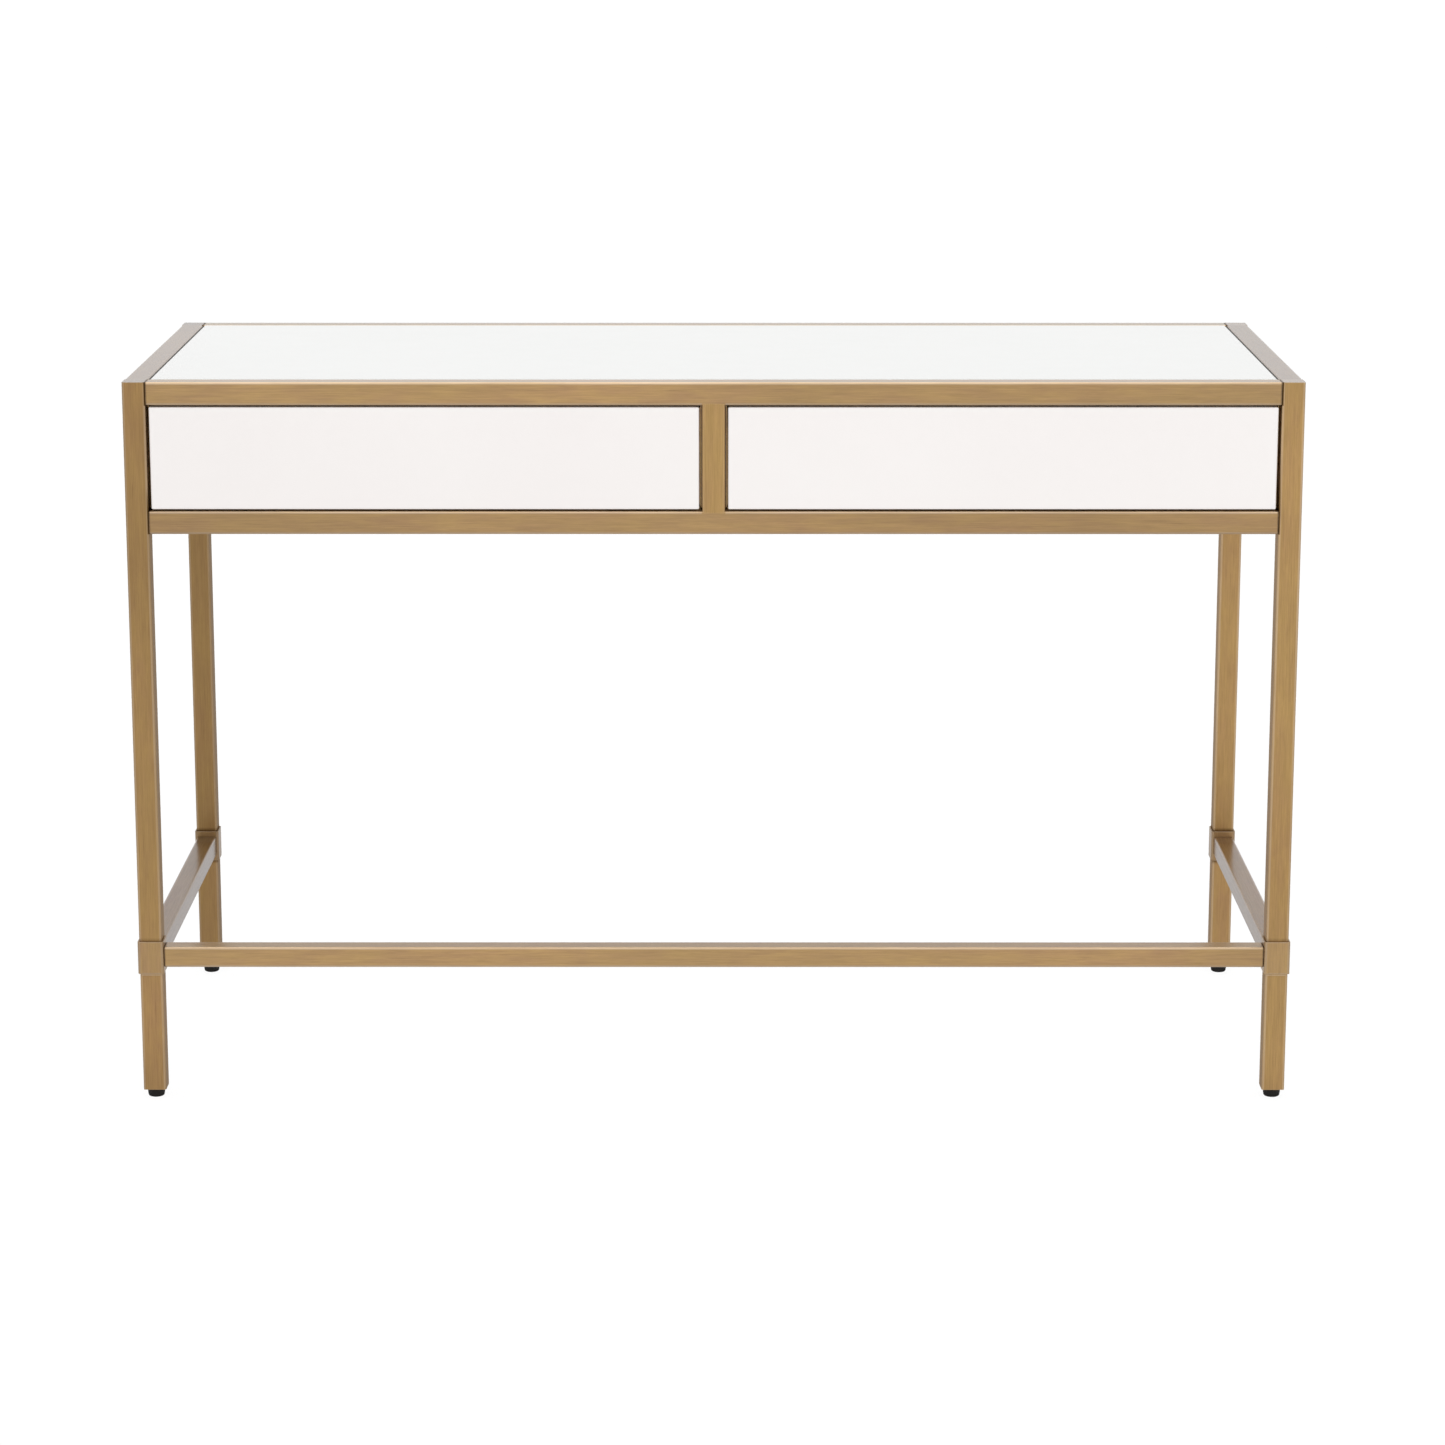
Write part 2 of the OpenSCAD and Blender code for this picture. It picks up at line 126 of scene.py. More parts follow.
def makeBrushGroup():
    # fine brushing, sparse dark dashes and slow clouds of tarnish; one unit of Vector is a scratch's width
    look = brushLook
    group, start, end = newGroup("brushedStreaks", ("Vector", "Cloud Vector"),
                                 ("Streaks", "Dashes", "Cloud", "Drift", "Height"))
    scratch, slow = start.outputs["Vector"], start.outputs["Cloud Vector"]
    fine = noiseNode(group, scratch, *look["fine"])
    broad = noiseNode(group, scratch, *look["broad"])
    dash = noiseNode(group, scratch, *look["dash"])
    cloud = noiseNode(group, slow, *look["cloud"])
    drift = noiseNode(group, slow, *look["drift"])
    both = mathNode(group, "MULTIPLY", mathNode(group, "ADD", fine, broad), 0.5)
    for title, noise, counted in (("Streaks", both, "streaks"), ("Dashes", dash, "dashes"),
                                  ("Cloud", cloud, "clouds"), ("Drift", drift, "drifts")):
        group.links.new(rangeNode(group, noise, *look[counted]), end.inputs[title])
    group.links.new(fine, end.inputs["Height"])
    return group


edgeLook = {
    "uneven": (0.3, 3.0), "counted": (0.3, 0.62),
    "least": {"WearHighlight": 0.45, "PaintedShade": 0.75, "Tone": 0.85},  # what the noise leaves of each where it is weakest
}


def makeEdgeGroup():
    # pale edges (rubbed brass with a painted highlight), painted shade in the seams and under the tubes, and
    # painted shade along the tubes, from the pieces' own attributes, broken up by noise
    look = edgeLook
    group, start, end = newGroup("wearAndPaintedLight", ("Vector",), look["least"])
    uneven = noiseNode(group, start.outputs["Vector"], *look["uneven"])
    for title, least in look["least"].items():
        spot = addNode(group, "ShaderNodeAttribute", attribute_name=title.lower())
        broken = rangeNode(group, uneven, *look["counted"], least, 1.0)
        group.links.new(mathNode(group, "MULTIPLY", spot.outputs["Fac"], broken), end.inputs[title])
    return group


grainLook = {
    "figure": (1.0, 5.0, 0.5, 1.2), "figures": (0.3, 0.7),
    "pore": (9.0, 2.0, 0.5), "pores": (0.58, 0.72),
}


def makeGrainGroup():
    # wood grain along the stretched axis, with fine pores
    look = grainLook
    group, start, end = newGroup("woodGrain", ("Vector",), ("Figure", "Pores"))
    figure = noiseNode(group, start.outputs["Vector"], *look["figure"])
    pores = noiseNode(group, start.outputs["Vector"], *look["pore"])
    group.links.new(rangeNode(group, figure, *look["figures"]), end.inputs["Figure"])
    group.links.new(rangeNode(group, pores, *look["pores"]), end.inputs["Pores"])
    return group


brushGroup = makeBrushGroup()
edgeGroup = makeEdgeGroup()
grainGroup = makeGrainGroup()
print("shader groups:", len(bpy.data.node_groups))


def newMaterial(name, metallic=0.0, coat=0.0, coatRoughness=0.05):
    material = bpy.data.materials.new(name)
    material.use_nodes = True
    tree = material.node_tree
    shader = tree.nodes["Principled BSDF"]
    shader.inputs["Metallic"].default_value = metallic
    shader.inputs["Coat Weight"].default_value = coat
    shader.inputs["Coat Roughness"].default_value = coatRoughness
    return material, tree, shader


def objectVector(tree, scale):
    coords = addNode(tree, "ShaderNodeTexCoord")
    mapping = addNode(tree, "ShaderNodeMapping")
    mapping.inputs["Scale"].default_value = scale
    tree.links.new(coords.outputs["Object"], mapping.inputs["Vector"])
    return mapping.outputs["Vector"]


def alongAxis(axis, across, along):
    scale = [across] * 3
    scale[axis] = along
    return scale


def useGroup(tree, group, vector):
    node = addNode(tree, "ShaderNodeGroup", node_tree=group)
    tree.links.new(vector, node.inputs["Vector"])
    return node


def varyRoughness(tree, shader, mask, *limits):
    tree.links.new(rangeNode(tree, mask, *limits), shader.inputs["Roughness"])


def addBump(tree, shader, height, strength, distance):
    bump = addNode(tree, "ShaderNodeBump")
    bump.inputs["Strength"].default_value = strength
    bump.inputs["Distance"].default_value = distance
    tree.links.new(height, bump.inputs["Height"])
    tree.links.new(bump.outputs["Normal"], shader.inputs["Normal"])


brassLook = {
    "gold": (0.485, 0.300, 0.116),
    "rose": (0.425, 0.250, 0.114),
    "olive": (0.380, 0.248, 0.090), "oliveShare": 0.5,
    # the pale edge colour: a painted highlight, read as rubbed brass
    "paleHighlight": (0.70, 0.55, 0.395), "highlightShare": 0.58,
    # the dark of the brush dashes, and of the shade painted in the seams, under the tubes and along them
    "seam": (0.085, 0.042, 0.012), "dashShare": 0.22,
    "scratches": 1000.0,  # to a metre
    "scratchLength": 38.0,  # times its width
    "clouds": (75.0, 20.0),  # to a metre, across the tube and along it
    "streakShade": (0.86, 1.10),
    "roughness": (0.46, 0.34),
    "coatRoughness": 0.20,
    "bump": (0.3, 0.00006),
    # the axis that each finish is brushed along, its brightness, lacquer and colour at a grazing angle; the
    # brightness paints the sides darker and the legs lighter, standing in for how the brushed metal takes the
    # light along and across its grain
    "finishes": {
        "Rails": {"axis": 0, "paintedGain": 1.0, "coat": 1.0, "coatIor": 1.45, "grazing": (0.84, 0.80, 0.76)},
        "Back": {"axis": 0, "paintedGain": 1.0, "coat": 1.0, "coatIor": 1.9, "grazing": (0.60, 0.64, 0.60)},
        "Sides": {"axis": 1, "paintedGain": 0.92, "coat": 1.0, "coatIor": 1.8, "grazing": (0.50, 0.50, 0.58)},
        "Legs": {"axis": 2, "paintedGain": 1.065, "coat": 0.22, "coatIor": 1.5, "grazing": (0.66, 0.54, 0.42)},
        "Collars": {"axis": 2, "paintedGain": 1.0, "coat": 0.8, "coatIor": 1.5, "grazing": (0.80, 0.70, 0.60)},
    },
}


def makeBrass(finish):
    # brushed along the tube that it covers, under a thin satin lacquer
    look = brassLook
    own = look["finishes"][finish]
    material, tree, shader = newMaterial("brushedBrass" + finish, metallic=1.0,
                                         coatRoughness=look["coatRoughness"])
    shader.inputs["Specular Tint"].default_value = (*own["grazing"], 1.0)
    shader.inputs["Coat IOR"].default_value = own["coatIor"]
    across = look["scratches"]
    vector = objectVector(tree, alongAxis(own["axis"], across, across / look["scratchLength"]))
    brush = useGroup(tree, brushGroup, vector)
    tree.links.new(objectVector(tree, alongAxis(own["axis"], *look["clouds"])), brush.inputs["Cloud Vector"])
    edge = useGroup(tree, edgeGroup, vector)
    tint = mixColours(tree, brush.outputs["Cloud"], look["rose"], look["gold"])
    olive = mathNode(tree, "MULTIPLY", brush.outputs["Drift"], look["oliveShare"])
    tint = mixColours(tree, olive, tint, look["olive"])
    shades = [shade * own["paintedGain"] for shade in look["streakShade"]]
    shade = rangeNode(tree, brush.outputs["Streaks"], 0, 1, *shades)
    tint = mixColours(tree, 1.0, tint, shade, "MULTIPLY")
    # mixes in the dashes, then the painted edge highlight, the painted seam and underside shade, and the
    # painted tone
    for mask, share, colour in ((brush.outputs["Dashes"], look["dashShare"], look["seam"]),
                                (edge.outputs["WearHighlight"], look["highlightShare"], look["paleHighlight"]),
                                (edge.outputs["PaintedShade"], 1.0, look["seam"]),
                                (edge.outputs["Tone"], 1.0, look["seam"])):
        tint = mixColours(tree, mathNode(tree, "MULTIPLY", mask, share), tint, colour)
    tree.links.new(tint, shader.inputs["Base Color"])
    varyRoughness(tree, shader, brush.outputs["Streaks"], 0, 1, *look["roughness"])
    lacquered = rangeNode(tree, edge.outputs["PaintedShade"], 0, 1, own["coat"], 0.0)  # no shine where the shade is painted, in the seams and under the tubes
    tree.links.new(lacquered, shader.inputs["Coat Weight"])
    addBump(tree, shader, brush.outputs["Height"], *look["bump"])
    return material


paleLook = {
    "whiteGlass": {"colour": (0.850, 0.862, 0.840), "cloudColour": (0.868, 0.878, 0.858),
                   "roughness": 0.42, "coat": 1.0, "ripple": 0.03},
    "whiteLacquer": {"colour": (0.925, 0.888, 0.872), "cloudColour": (0.938, 0.905, 0.888),
                     "roughness": 0.36, "coat": 0.0, "ripple": 0.18},
    "whiteBoard": {"colour": (0.83, 0.82, 0.79), "cloudColour": (0.86, 0.85, 0.82),
                   "roughness": 0.5, "coat": 0.0, "ripple": 0.4},
}
# scale and detail of each noise, and how far the roughness strays
paleGrain = {
    "cloud": (5.0, 3.0), "sheen": (38.0, 2.0), "ripple": (420.0, 2.0), "rippleDepth": 0.00004,
    "stray": (0.85, 1.15), "coatRoughness": 0.04,
}


def makePale(name):
    # a pale painted or glazed surface, faintly uneven in tone and sheen
    look, grain = paleLook[name], paleGrain
    material, tree, shader = newMaterial(name, coat=look["coat"], coatRoughness=grain["coatRoughness"])
    vector = objectVector(tree, (1.0, 1.0, 1.0))
    cloud = rangeNode(tree, noiseNode(tree, vector, *grain["cloud"]), *cloudRange)
    tree.links.new(mixColours(tree, cloud, look["colour"], look["cloudColour"]), shader.inputs["Base Color"])
    varyRoughness(tree, shader, noiseNode(tree, vector, *grain["sheen"]), *sheenRange,
                  *(look["roughness"] * stray for stray in grain["stray"]))
    addBump(tree, shader, noiseNode(tree, vector, *grain["ripple"]), look["ripple"], grain["rippleDepth"])
    return material


woodLook = {
    "light": (0.66, 0.50, 0.325), "dark": (0.50, 0.345, 0.195), "pore": (0.33, 0.21, 0.11), "poreShare": 0.5,
    "grain": (55.0, 3.5),  # across the fibres and along them
    "roughness": (0.52, 0.4), "bump": (0.3, -0.00015),
}


def makeWood(axis):
    look = woodLook
    material, tree, shader = newMaterial("drawerBirch" + "XYZ"[axis])
    grain = useGroup(tree, grainGroup, objectVector(tree, alongAxis(axis, *look["grain"])))
    figure = mixColours(tree, grain.outputs["Figure"], look["dark"], look["light"])
    pores = mathNode(tree, "MULTIPLY", grain.outputs["Pores"], look["poreShare"])
    tree.links.new(mixColours(tree, pores, figure, look["pore"]), shader.inputs["Base Color"])
    varyRoughness(tree, shader, grain.outputs["Figure"], 0, 1, *look["roughness"])
    addBump(tree, shader, grain.outputs["Pores"], *look["bump"])
    return material


plyLook = {
    "layers": {"Scale": 116.0, "Distortion": 0.6, "Detail": 2.0, "Detail Scale": 3.0},
    "specks": 900.0, "specked": (0.55, 0.75), "speckShare": 0.6,
    "roughness": (0.5, 0.62), "bump": (0.25, 0.0001),
}


def makePly(axis):
    # the edge of the board: thin layers across its thickness
    look, wood = plyLook, woodLook
    material, tree, shader = newMaterial("birchEdge" + "XYZ"[axis])
    wave = addNode(tree, "ShaderNodeTexWave", wave_type="BANDS", bands_direction="XYZ"[axis])
    for key, value in look["layers"].items():
        wave.inputs[key].default_value = value
    tree.links.new(objectVector(tree, (1.0, 1.0, 1.0)), wave.inputs["Vector"])
    speck = noiseNode(tree, objectVector(tree, [look["specks"]] * 3), 1.0, 2.0)
    layers = mixColours(tree, rangeNode(tree, wave.outputs["Fac"], *cloudRange), wood["dark"], wood["light"])
    specks = rangeNode(tree, speck, *look["specked"], 0.0, look["speckShare"])
    tree.links.new(mixColours(tree, specks, layers, wood["pore"]), shader.inputs["Base Color"])
    varyRoughness(tree, shader, speck, *sheenRange, *look["roughness"])
    addBump(tree, shader, wave.outputs["Fac"], *look["bump"])
    return material


zincLook = {
    "dull": (0.50, 0.51, 0.525), "bright": (0.57, 0.575, 0.58),
    "scratches": (1000.0, 40.0), "clouds": (60.0, 60.0, 60.0),  # to a metre
    "roughness": (0.42, 0.28), "bump": (0.12, 0.00008),
}


def makeZinc():
    look = zincLook
    material, tree, shader = newMaterial("zincSteel", metallic=1.0)
    brush = useGroup(tree, brushGroup, objectVector(tree, alongAxis(1, *look["scratches"])))
    tree.links.new(objectVector(tree, look["clouds"]), brush.inputs["Cloud Vector"])
    tint = mixColours(tree, brush.outputs["Cloud"], look["dull"], look["bright"])
    tree.links.new(tint, shader.inputs["Base Color"])
    varyRoughness(tree, shader, brush.outputs["Streaks"], 0, 1, *look["roughness"])
    addBump(tree, shader, brush.outputs["Height"], *look["bump"])
    return material


plasticLook = {
    "blackPlastic": {"colour": (0.007, 0.006, 0.005), "dusty": (0.024, 0.020, 0.017),
                     "roughness": 0.55, "gloss": 0.2},
    # near black: the gasket paints the shadow in the joint beside the top
    "shadowGasket": {"colour": (0.045, 0.044, 0.042), "dusty": (0.10, 0.095, 0.09),
                   "roughness": 0.7, "gloss": 0.5},
    "greyPlastic": {"colour": (0.42, 0.42, 0.42), "dusty": (0.55, 0.54, 0.52),
                    "roughness": 0.5, "gloss": 0.5},
}
plasticGrain = {
    "dust": (160.0, 5.0, 0.7), "dusted": (0.52, 0.75), "dustShare": 0.5,
    "sheen": (700.0, 2.0), "spark": (2600.0, 1.0), "stray": (0.8, 1.2), "bump": (0.25, 0.00005),
}


def makePlastic(name):
    # moulded plastic with a fine spark-eroded grain and a trace of dust
    look, grain = plasticLook[name], plasticGrain
    material, tree, shader = newMaterial(name)
    shader.inputs["Specular IOR Level"].default_value = look["gloss"]
    vector = objectVector(tree, (1.0, 1.0, 1.0))
    dust = rangeNode(tree, noiseNode(tree, vector, *grain["dust"]), *grain["dusted"], 0.0, grain["dustShare"])
    tree.links.new(mixColours(tree, dust, look["colour"], look["dusty"]), shader.inputs["Base Color"])
    varyRoughness(tree, shader, noiseNode(tree, vector, *grain["sheen"]), *sheenRange,
                  *(look["roughness"] * stray for stray in grain["stray"]))
    addBump(tree, shader, noiseNode(tree, vector, *grain["spark"]), *grain["bump"])
    return material


brass = {finish: makeBrass(finish) for finish in brassLook["finishes"]}
birch = [makeWood(axis) for axis in range(2)]
birchEdge = [makePly(axis) for axis in range(2)]
zinc = makeZinc()
topWhite, lacquer, melamine = (makePale(name) for name in paleLook)
blackPlastic, shadowGasket, greyPlastic = (makePlastic(name) for name in plasticLook)
slotMaterial = {
    "brass_tube": brass["Rails"], "white_glass": topWhite, "white_lacquer": lacquer, "white_board": melamine,
    "drawer_wood": birch[1], "zinc_steel": zinc, "black_plastic": blackPlastic, "grey_plastic": greyPlastic,
}
alongX = ("drawer_front", "drawer_back", "drawer_bottom")  # their grain runs from side to side
for name, node in cadNodes.items():
    material = slotMaterial[slotOf[name]]
    if name.endswith(alongX):
        material = birch[0]
    node.data.materials.clear()
    node.data.materials.append(material)
print("materials:", len(bpy.data.materials))


def addPiece(name, shape, body, material, stands=(), smooth=40.0):
    # stands are the CAD nodes that the piece stands for; smooth is the sharpest angle shaded as round
    mesh = bpy.data.meshes.new(name)
    shape.to_mesh(mesh)
    shape.free()
    mesh.materials.append(material)
    for face in mesh.polygons:
        face.use_smooth = True
    mesh.set_sharp_from_angle(angle=math.radians(smooth))
    piece = bpy.data.objects.new(name, mesh)
    scene.collection.objects.link(piece)
    shading = piece.modifiers.new("evenShading", "WEIGHTED_NORMAL")
    shading.keep_sharp = True
    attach(piece, body)
    if stands:
        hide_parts(*stands)
    return piece


def blockShape(low, high):
    shape = bmesh.new()
    bmesh.ops.create_cube(shape, size=1.0)
    bmesh.ops.scale(shape, vec=high - low, verts=shape.verts)
    bmesh.ops.translate(shape, vec=(low + high) / 2, verts=shape.verts)
    return shape


def solidBoxes(node):
    # the lowest and highest corner of each separate solid of a node
    shape = bmesh.new()
    shape.from_mesh(cadNodes[node].data)
    bmesh.ops.remove_doubles(shape, verts=shape.verts, dist=hair)
    seen, boxes = set(), []
    for first in shape.verts:
        if first in seen:
            continue
        seen.add(first)
        island, front = [], [first]
        while front:
            vert = front.pop()
            island.append(vert.co.copy())
            for edge in vert.link_edges:
                other = edge.other_vert(vert)
                if other not in seen:
                    seen.add(other)
                    front.append(other)
        boxes.append((Vector([min(co[i] for co in island) for i in range(3)]),
                      Vector([max(co[i] for co in island) for i in range(3)])))
    shape.free()
    return boxes


def bevelEdges(shape, edges, width, segments):
    return bmesh.ops.bevel(shape, geom=list(edges), offset=width, offset_type="OFFSET", affect="EDGES",
                           segments=segments, profile=0.5, material=-1, clamp_overlap=True)


def edgesAlong(shape, axis):
    def runs(edge):
        step = edge.verts[0].co - edge.verts[1].co
        return abs(step[axis]) > 0.99 * step.length
    return [edge for edge in shape.edges if runs(edge)]


def sliceAcross(shape, axis, places):
    normal = Vector([float(axis == i) for i in range(3)])
    for place in places:
        bmesh.ops.bisect_plane(shape, geom=shape.verts[:] + shape.edges[:] + shape.faces[:],
                               dist=hair, plane_co=normal * place, plane_no=normal)


def insetBroad(shape, width, axis, least):
    # an inset ring round each face of more than the least area, which the painted edge highlight fades over
    broad = [face for face in shape.faces if max(abs(v) for v in face.normal) > 0.9999
             and abs(face.normal[axis]) < 0.5 and face.calc_area() > least]
    bmesh.ops.inset_region(shape, faces=broad, thickness=width, use_even_offset=True, use_boundary=True)


def hollowOut(shape, caps, wall, even):
    # a hole between two caps; the wall is measured square to the sides if even, else along the diagonal
    bmesh.ops.inset_individual(shape, faces=caps, thickness=wall, use_even_offset=even)
    loops = [edge for face in caps for edge in face.edges]
    bmesh.ops.delete(shape, geom=caps, context="FACES_ONLY")
    bmesh.ops.bridge_loops(shape, edges=loops)
    bmesh.ops.recalc_face_normals(shape, faces=shape.faces)


def layersOf(shape, *names):
    layers = shape.verts.layers.float
    for name in names:
        if name not in layers:
            layers.new(name)
    return [layers[name] for name in names]


tubeLook = {
    "radius": 0.0019, "cornerSteps": 5, "endEase": 0.0003, "endSteps": 2, "highlightWidth": 0.0009,
    "broad": 0.0002,  # square metres: smaller faces get no ring
    "leastCut": 0.0004,  # no cut closer to an end than this
    "seam": (0.0007, 0.0018),  # how far the painted seam shade reaches from a tube's end, full and fading
    # underside: painted shade on the lower half of the level tubes; seamDepth: how dark the painted seam
    # shade is
    "underside": 0.30, "seamDepth": 0.85, "weldFade": 0.0005,
    # for the legs alone:
    # kneeShade: painted shade on each leg's side towards the knees; legHighlight: how strong the painted edge
    # highlight is on the legs
    "legHighlight": 0.8, "kneeShade": 0.26, "wall": 0.0015, "plugStep": (0.0002, 0.0006),
    "railSeam": (0.0004, 0.0002),  # how far the painted seam shade reaches under a rail, and stops short of its top
    "collarSeam": (0.0006, 0.0042),  # soft and long
    "collarDepth": {"front": (0.45, 0.2), "back": (0.85, 0.85)},  # how dark the painted shade is above and under the collars
    "ringSpan": (0.0004, 0.0009, 0.0019, 0.0024),  # where the painted pale ring under a collar starts and ends
}
# how dark the painted shade on each tube is, standing in for light that falls unevenly: one tone, or the
# tones at a few places along the tube, in metres
shadeToneOf = {
    "leg_front_left": ((0.010, 0.37), (0.06, 0.28), (0.13, 0.22), (0.21, 0.25), (0.40, 0.28), (0.60, 0.39),
                       (0.66, 0.33)),
    "leg_front_right": ((0.010, 0.20), (0.05, 0.05), (0.13, 0.08), (0.25, 0.20), (0.33, 0.10), (0.42, 0.02),
                        (0.70, 0.04)),
    "leg_back_left": ((0.010, 0.52), (0.19, 0.46), (0.42, 0.43), (0.53, 0.48)),
    "leg_back_right": ((0.010, 0.22), (0.19, 0.16), (0.26, 0.05), (0.32, 0.0), (0.48, 0.0), (0.53, 0.08)),
    "front_top_rail": ((-0.58, 0.06), (-0.48, 0.0), (-0.14, 0.0), (0.06, 0.08), (0.20, 0.04), (0.32, 0.09),
                       (0.54, 0.03)),
    "front_bottom_rail": ((-0.58, 0.26), (-0.45, 0.18), (-0.20, 0.10), (-0.05, 0.08), (0.25, 0.20),
                          (0.36, 0.21), (0.5, 0.16)),
    "front_stretcher": ((-0.58, 0.05), (-0.48, 0.0), (0.32, 0.0), (0.45, 0.03), (0.58, 0.10)),
    "left_stretcher": 0.30, "right_stretcher": 0.13, "left_top_rail": 0.03, "right_top_rail": 0.12,
    "collar_back_left": 0.50, "collar_back_right": 0.26, "collar_front_left": 0.16,
}
highlightOf = {"Back": 0.15, "Legs": 0.2}  # fainter painted edge highlight, read as rubbed brass, on the back rails and the mullion


def shadeToneAt(tones, place):
    if isinstance(tones, float):
        return tones
    for (start, first), (end, last) in zip(tones, tones[1:]):
        if place < end:
            return first + (last - first) * max(0.0, (place - start) / (end - start))
    return tones[-1][1]


def tubeShape(low, high, axis, seamEnds=(True, True), seams=(), tone=0.0, wearhighlight=1.0, seamReach=None):
    # seams are further places along the tube where another part closes on it and shade is painted: the way
    # they fade, how dark
    look = tubeLook
    full, fading = seamReach or look["seam"]
    shape = blockShape(low, high)
    bevelEdges(shape, edgesAlong(shape, axis), look["radius"], look["cornerSteps"])
    ends = [edge for edge in shape.edges
            if all(abs(v.co[axis] - low[axis]) < hair for v in edge.verts) and seamEnds[0]
            or all(abs(v.co[axis] - high[axis]) < hair for v in edge.verts) and seamEnds[1]]
    if ends:
        bevelEdges(shape, ends, look["endEase"], look["endSteps"])
    insetBroad(shape, look["highlightWidth"], axis, look["broad"])
    depth = look["seamDepth"]
    places = [(low[axis], 1, depth)] * seamEnds[0] + [(high[axis], -1, depth)] * seamEnds[1] + list(seams)
    cuts = {round(place + way * reach, 6) for place, way, dark in places for reach in (0.0, full, fading)}
    if isinstance(tone, tuple):
        cuts |= {place for place, value in tone}
    first, last = low[axis] + look["leastCut"], high[axis] - look["leastCut"]
    sliceAcross(shape, axis, sorted(cut for cut in cuts if first < cut < last))
    highlightLayer, shadeLayer, toneShadeLayer = layersOf(shape, "wearhighlight", "paintedshade", "tone")
    middle = (low + high) / 2
    half = (high - low) / 2
    for vert in shape.verts:
        offset = [abs(vert.co[i] - middle[i]) for i in range(3) if i != axis]
        reach = [half[i] - look["radius"] - look["highlightWidth"] * 0.5 for i in range(3) if i != axis]
        outer = all(o > r for o, r in zip(offset, reach))
        # painted highlight on the outer corners, painted shade under the level tubes and by the seams, and
        # the painted tone along the tube
        vert[highlightLayer] = wearhighlight if outer else 0.0
        paintedshade = look["underside"] if outer and axis != 2 and vert.co.z < middle.z else 0.0
        for place, way, dark in places:
            step = (vert.co[axis] - place) * way
            if -2 * hair < step < fading + 2 * hair:
                paintedshade = max(paintedshade, dark * min(1.0, (fading - step) / (fading - full)))
        vert[shadeLayer] = min(1.0, paintedshade)
        vert[toneShadeLayer] = shadeToneAt(tone, vert.co[axis])
    return shape


def blendWeld(shape, rail):
    # no painted edge highlight and no painted seam shade where the mullion is welded to the rail
    low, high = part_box("mullion")
    middle = (low + high) / 2
    reach = abs(sum(corner.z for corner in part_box(rail)) / 2 - middle.z)
    fade = tubeLook["weldFade"]
    sliceAcross(shape, 0, (low.x - fade, low.x, high.x, high.x + fade))
    highlightLayer, shadeLayer = layersOf(shape, "wearhighlight", "paintedshade")
    for vert in shape.verts:
        if low.x - near < vert.co.x < high.x + near and abs(vert.co.z - middle.z) < reach:
            vert[highlightLayer] = 0.0
            vert[shadeLayer] = 0.0


def addTube(node, finish, seamEnds):
    low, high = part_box(node)
    if node == "mullion":  # its welds fill the rounding of the rails
        low.z -= tubeLook["radius"]
        high.z += tubeLook["radius"]
    shape = tubeShape(low, high, brassLook["finishes"][finish]["axis"], seamEnds,
                      tone=shadeToneOf.get(node, 0.0), wearhighlight=highlightOf.get(finish, 1.0))
    if node in ("front_top_rail", "front_bottom_rail"):
        blendWeld(shape, node)
    return addPiece(node + "_tube", shape, "frame", brass[finish], (node,))


tubes = {
    "Rails": ("front_top_rail", "front_bottom_rail", "front_stretcher"),
    "Back": ("back_top_rail", "back_bottom_rail"),
    "Sides": ("left_top_rail", "right_top_rail", "left_bottom_rail", "right_bottom_rail",
              "left_stretcher", "right_stretcher"),
    "Legs": ("mullion",),
}
flushEnds = ("left_top_rail", "right_top_rail", "mullion")  # welded and ground flush
for finish, names in tubes.items():
    for name in names:
        closed = name not in flushEnds
        addTube(name, finish, (closed, closed))


def shadeLeg(shape, kneeSide):
    # painted shade: darker on the side towards the knees, and where the rails close on its rounded corner
    look = tubeLook
    highlightLayer, shadeLayer, toneShadeLayer = layersOf(shape, "wearhighlight", "paintedshade", "tone")
    top = [face for face in shape.faces if face.normal.z > 0.9]
    bmesh.ops.inset_individual(shape, faces=top, thickness=look["radius"], use_even_offset=True)
    rails = [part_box(rail) for rail in ("front_top_rail", "front_bottom_rail")]
    under, short = look["railSeam"]
    for low, high in rails:
        sliceAcross(shape, 2, (low.z - under, low.z, high.z - short))
    for vert in shape.verts:
        inward = abs(vert.co.x) - kneeSide
        if inward < near:
            vert[toneShadeLayer] += (1 - vert[toneShadeLayer]) * look["kneeShade"]
        atRail = any(low.z - near < vert.co.z < high.z + near for low, high in rails)
        if atRail and inward < look["radius"] * 0.75:
            vert[highlightLayer] = 0.0
            vert[shadeLayer] = look["seamDepth"]


def paleRing(shape, level, ring):
    # a pale ring painted on the leg just under the collar
    sliceAcross(shape, 2, [level - reach for reach in ring])
    highlightLayer = layersOf(shape, "wearhighlight")[0]
    for vert in shape.verts:
        if ring[1] - near < level - vert.co.z < ring[2] + near:
            vert[highlightLayer] = 1.0


